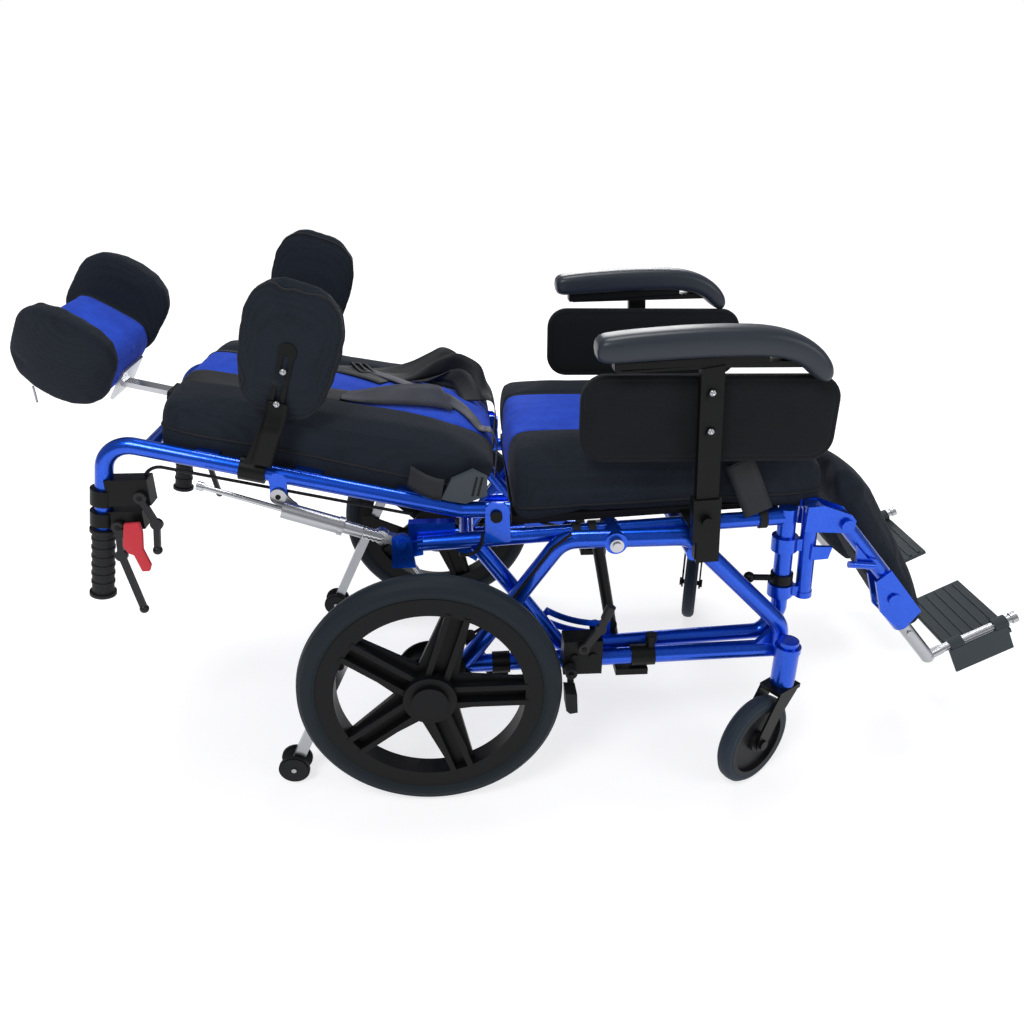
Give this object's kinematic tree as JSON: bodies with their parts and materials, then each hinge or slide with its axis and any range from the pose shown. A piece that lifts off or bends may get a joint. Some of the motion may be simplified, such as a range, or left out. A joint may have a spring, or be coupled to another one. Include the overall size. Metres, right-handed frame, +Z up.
{
  "type": "tilt in space wheelchair",
  "caption": "Tilt in space wheelchair shown fully reclined, with headrest, lateral pads, height-adjustable arms and elevating leg rests on a painted tube frame.",
  "frame": {"origin": "centre of the bounding box at floor level", "axes": "+X towards the front of the chair, +Y to the left-hand side of the person seated, +Z up"},
  "size_m": [1.5824, 0.6838, 0.822],
  "materials": {
    "black_fabric": "woven",
    "black_paint": "satin",
    "black_plastic": "matte",
    "blue_fabric": "woven",
    "chrome": "polished",
    "frame_paint": "gloss",
    "grey_pad": "satin",
    "grip_rubber": "matte",
    "pan_board": "matte",
    "tyre_rubber": "matte",
    "zinc": "satin"
  },
  "bodies": {
    "base": {"base_frame": "frame_paint", "tilt_axle": "chrome", "drum_brakes": "black_paint", "base_brackets": "black_paint", "anti_tip_tubes": "chrome", "base_cables": "grip_rubber"},
    "seat": {"seat_frame": "frame_paint", "seat_pan": "pan_board", "seat_fittings": "black_paint", "seat_cushion": "blue_fabric", "lap_belt": "black_fabric", "seat_cables": "grip_rubber"},
    "back": {"back_frame": "frame_paint", "back_cushion": "blue_fabric", "back_fittings": "black_paint", "push_grips": "grip_rubber", "shoulder_harness": "black_fabric", "back_cables": "grip_rubber"},
    "recline_tube": {"recline_tubes": "black_plastic"},
    "recline_rod": {"recline_rods": "chrome"},
    "tilt_tube": {"tilt_tubes": "black_plastic"},
    "tilt_rod": {"tilt_rods": "chrome"},
    "headrest": {"headrest_bar": "chrome", "headrest_cushion": "blue_fabric"},
    "rear_wheel_r": {"rear_rim_r": "black_plastic", "rear_tyre_r": "tyre_rubber"},
    "caster_r": {"caster_fork_r": "black_paint"},
    "caster_wheel_r": {"caster_wheel_r": "black_plastic"},
    "anti_tip_r": {"anti_tip_wheels_r": "black_plastic"},
    "lock_lever_r": {"wheel_lock_lever_r": "black_plastic"},
    "lock_shoe_r": {"wheel_lock_shoe_r": "grip_rubber"},
    "arm_r": {"arm_post_r": "black_plastic", "arm_pad_r": "grey_pad", "side_panel_r": "black_plastic"},
    "lateral_r": {"lateral_pad_r": "blue_fabric"},
    "brake_r": {"brake_lever_r": "zinc"},
    "release_r": {"release_lever_r": "zinc"},
    "hanger_r": {"hanger_r": "zinc"},
    "leg_r": {"leg_tube_r": "zinc", "calf_pad_r": "blue_fabric"},
    "extension_r": {"leg_extension_r": "zinc"},
    "foot_r": {"footplate_r": "black_plastic"},
    "rear_wheel_l": {"rear_rim_l": "black_plastic", "rear_tyre_l": "tyre_rubber"},
    "caster_l": {"caster_fork_l": "black_paint"},
    "caster_wheel_l": {"caster_wheel_l": "black_plastic"},
    "anti_tip_l": {"anti_tip_wheels_l": "black_plastic"},
    "lock_lever_l": {"wheel_lock_lever_l": "black_plastic"},
    "lock_shoe_l": {"wheel_lock_shoe_l": "grip_rubber"},
    "arm_l": {"arm_post_l": "black_plastic", "arm_pad_l": "grey_pad", "side_panel_l": "black_plastic"},
    "lateral_l": {"lateral_pad_l": "blue_fabric"},
    "brake_l": {"brake_lever_l": "zinc"},
    "release_l": {"release_lever_l": "zinc"},
    "hanger_l": {"hanger_l": "zinc"},
    "leg_l": {"leg_tube_l": "zinc", "calf_pad_l": "blue_fabric"},
    "extension_l": {"leg_extension_l": "zinc"},
    "foot_l": {"footplate_l": "black_plastic"}
  },
  "joints": [
    {"name": "tilt", "type": "hinge", "parent": "base", "child": "seat", "pos_m": [0.10081, 0.00289, 0.411], "axis": [0, -1, 0], "range_deg": [0, 25]},
    {"name": "recline", "type": "hinge", "parent": "seat", "child": "back", "pos_m": [-0.07619, 0.00289, 0.449], "axis": [0, 1, 0], "range_deg": [0, 70], "deforming": ["back_cushion"]},
    {"name": "recline_tube_turn", "type": "hinge", "parent": "back", "child": "recline_tube", "pos_m": [-0.39119, 0.00289, 0.488], "axis": [0, 1, 0], "range_deg": [0, 9.94]},
    {"name": "recline_rod_slide", "type": "slide", "parent": "recline_tube", "child": "recline_rod", "axis": [0.9426, 0, -0.3338], "range_m": [0, 0.16357]},
    {"name": "tilt_tube_turn", "type": "hinge", "parent": "base", "child": "tilt_tube", "pos_m": [-0.07119, 0.00289, 0.135], "axis": [0, -1, 0], "range_deg": [0, 11.81]},
    {"name": "tilt_rod_slide", "type": "slide", "parent": "tilt_tube", "child": "tilt_rod", "axis": [0.5049, 0, -0.8632], "range_m": [0, 0.13203]},
    {"name": "rear_wheel_r", "type": "hinge", "parent": "base", "child": "rear_wheel_r", "pos_m": [-0.18119, -0.30511, 0.2], "axis": [0, 1, 0], "continuous": true},
    {"name": "caster_swivel_r", "type": "hinge", "parent": "base", "child": "caster_r", "pos_m": [0.38081, -0.26211, 0.19], "axis": [0, 0, 1], "continuous": true},
    {"name": "caster_spin_r", "type": "hinge", "parent": "caster_r", "child": "caster_wheel_r", "pos_m": [0.33217, -0.2937, 0.076], "axis": [-0.5446, 0.8387, 0], "continuous": true},
    {"name": "anti_tip_spin_r", "type": "hinge", "parent": "base", "child": "anti_tip_r", "pos_m": [-0.40919, -0.25311, 0.028], "axis": [0, 1, 0], "continuous": true},
    {"name": "wheel_lock_r", "type": "hinge", "parent": "base", "child": "lock_lever_r", "pos_m": [0.05281, -0.28511, 0.254], "axis": [0, 1, 0], "range_deg": [0, 35]},
    {"name": "lock_shoe_r", "type": "hinge", "parent": "base", "child": "lock_shoe_r", "pos_m": [0.03281, -0.29311, 0.218], "axis": [0, 1, 0], "range_deg": [0, 4.5]},
    {"name": "arm_height_r", "type": "slide", "parent": "seat", "child": "arm_r", "axis": [-0.0588, 0, 0.9983], "range_m": [0, 0.06]},
    {"name": "lateral_slide_r", "type": "slide", "parent": "back", "child": "lateral_r", "axis": [0.3162, 0, 0.9487], "range_m": [0, 0.018]},
    {"name": "brake_lever_r", "type": "hinge", "parent": "back", "child": "brake_r", "pos_m": [-0.62519, -0.21711, 0.446], "axis": [0, 1, 0], "range_deg": [0, 14], "stiffness_Nm_per_rad": 0.6, "springref_deg": -14.32},
    {"name": "release_lever_r", "type": "hinge", "parent": "back", "child": "release_r", "pos_m": [-0.58519, -0.21811, 0.492], "axis": [0, 1, 0], "range_deg": [0, 10], "stiffness_Nm_per_rad": 0.6, "springref_deg": -14.32},
    {"name": "hanger_swing_r", "type": "hinge", "parent": "seat", "child": "hanger_r", "pos_m": [0.37761, -0.20111, 0.3635], "axis": [0.0528, 0, -0.9986], "range_deg": [0, 90]},
    {"name": "leg_raise_r", "type": "hinge", "parent": "hanger_r", "child": "leg_r", "pos_m": [0.45881, -0.20711, 0.422], "axis": [0, -1, 0], "range_deg": [-20, 45], "deforming": ["calf_pad_r"]},
    {"name": "leg_length_r", "type": "slide", "parent": "leg_r", "child": "extension_r", "axis": [0.6532, 0, -0.7572], "range_m": [0, 0.05]},
    {"name": "foot_flip_r", "type": "hinge", "parent": "extension_r", "child": "foot_r", "pos_m": [0.72581, -0.20711, 0.204], "axis": [0.8855, 0, 0.4645], "range_deg": [0, 90]},
    {"name": "rear_wheel_l", "type": "hinge", "parent": "base", "child": "rear_wheel_l", "pos_m": [-0.18119, 0.31089, 0.2], "axis": [0, 1, 0], "continuous": true},
    {"name": "caster_swivel_l", "type": "hinge", "parent": "base", "child": "caster_l", "pos_m": [0.38081, 0.26789, 0.19], "axis": [0, 0, 1], "continuous": true},
    {"name": "caster_spin_l", "type": "hinge", "parent": "caster_l", "child": "caster_wheel_l", "pos_m": [0.36289, 0.21273, 0.076], "axis": [0.9511, -0.309, 0], "continuous": true},
    {"name": "anti_tip_spin_l", "type": "hinge", "parent": "base", "child": "anti_tip_l", "pos_m": [-0.40919, 0.25889, 0.028], "axis": [0, 1, 0], "continuous": true},
    {"name": "wheel_lock_l", "type": "hinge", "parent": "base", "child": "lock_lever_l", "pos_m": [0.05281, 0.29089, 0.254], "axis": [0, 1, 0], "range_deg": [0, 35]},
    {"name": "lock_shoe_l", "type": "hinge", "parent": "base", "child": "lock_shoe_l", "pos_m": [0.03281, 0.29889, 0.218], "axis": [0, 1, 0], "range_deg": [0, 4.5]},
    {"name": "arm_height_l", "type": "slide", "parent": "seat", "child": "arm_l", "axis": [-0.0588, 0, 0.9983], "range_m": [0, 0.06]},
    {"name": "lateral_slide_l", "type": "slide", "parent": "back", "child": "lateral_l", "axis": [0.3162, 0, 0.9487], "range_m": [0, 0.018]},
    {"name": "brake_lever_l", "type": "hinge", "parent": "back", "child": "brake_l", "pos_m": [-0.62519, 0.22289, 0.446], "axis": [0, 1, 0], "range_deg": [0, 14], "stiffness_Nm_per_rad": 0.6, "springref_deg": -14.32},
    {"name": "release_lever_l", "type": "hinge", "parent": "back", "child": "release_l", "pos_m": [-0.58519, 0.22389, 0.492], "axis": [0, 1, 0], "range_deg": [0, 10], "stiffness_Nm_per_rad": 0.6, "springref_deg": -14.32},
    {"name": "hanger_swing_l", "type": "hinge", "parent": "seat", "child": "hanger_l", "pos_m": [0.37761, 0.20689, 0.3635], "axis": [-0.0528, 0, 0.9986], "range_deg": [0, 90]},
    {"name": "leg_raise_l", "type": "hinge", "parent": "hanger_l", "child": "leg_l", "pos_m": [0.45881, 0.21289, 0.422], "axis": [0, -1, 0], "range_deg": [-20, 45], "deforming": ["calf_pad_l"]},
    {"name": "leg_length_l", "type": "slide", "parent": "leg_l", "child": "extension_l", "axis": [0.6532, 0, -0.7572], "range_m": [0, 0.05]},
    {"name": "foot_flip_l", "type": "hinge", "parent": "extension_l", "child": "foot_l", "pos_m": [0.72581, 0.21289, 0.204], "axis": [-0.8855, 0, -0.4645], "range_deg": [0, 90]},
    {"name": "headrest_slide", "type": "slide", "parent": "back", "child": "headrest", "axis": [-0.9717, 0, 0.2363], "range_m": [0, 0.028]}
  ],
  "couplings": [
    {"joint": "recline_tube_turn", "follows": "recline", "ratio": 0.14132},
    {"joint": "recline_rod_slide", "follows": "recline", "m_per_rad": 0.13347},
    {"joint": "tilt_tube_turn", "follows": "tilt", "ratio": 0.47035},
    {"joint": "tilt_rod_slide", "follows": "tilt", "m_per_rad": 0.30144},
    {"joint": "lock_shoe_r", "follows": "wheel_lock_r", "ratio": 0.12},
    {"joint": "lock_shoe_l", "follows": "wheel_lock_l", "ratio": 0.12}
  ]
}
